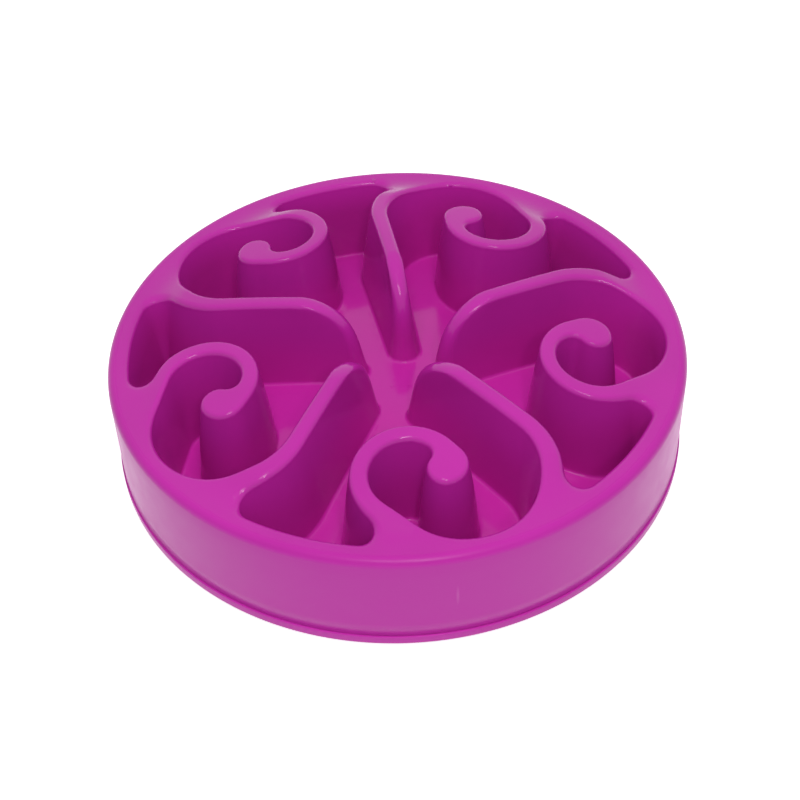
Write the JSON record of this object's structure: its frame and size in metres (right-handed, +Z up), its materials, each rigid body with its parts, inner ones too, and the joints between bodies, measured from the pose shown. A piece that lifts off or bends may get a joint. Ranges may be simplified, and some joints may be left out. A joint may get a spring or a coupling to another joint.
{
  "type": "slow feeder bowl",
  "caption": "Round shallow pet bowl whose domed inside is a maze of curved spokes and scrolls, on a lipped base plate with rubber feet.",
  "frame": {"origin": "centre of the bowl on the surface that it stands on", "axes": "+Z up through the middle of the bowl; one spoke ends on +Y"},
  "size_m": [0.2924, 0.2924, 0.073],
  "materials": {
    "shell_plastic": "satin gloss magenta",
    "base_plastic": "satin gloss magenta",
    "foot_rubber": "matte"
  },
  "bodies": {
    "root": {"bowl_shell": "shell_plastic", "base_plate": "base_plastic", "foot_1": "foot_rubber", "foot_2": "foot_rubber", "foot_3": "foot_rubber", "foot_4": "foot_rubber", "foot_5": "foot_rubber"}
  },
  "joints": []
}
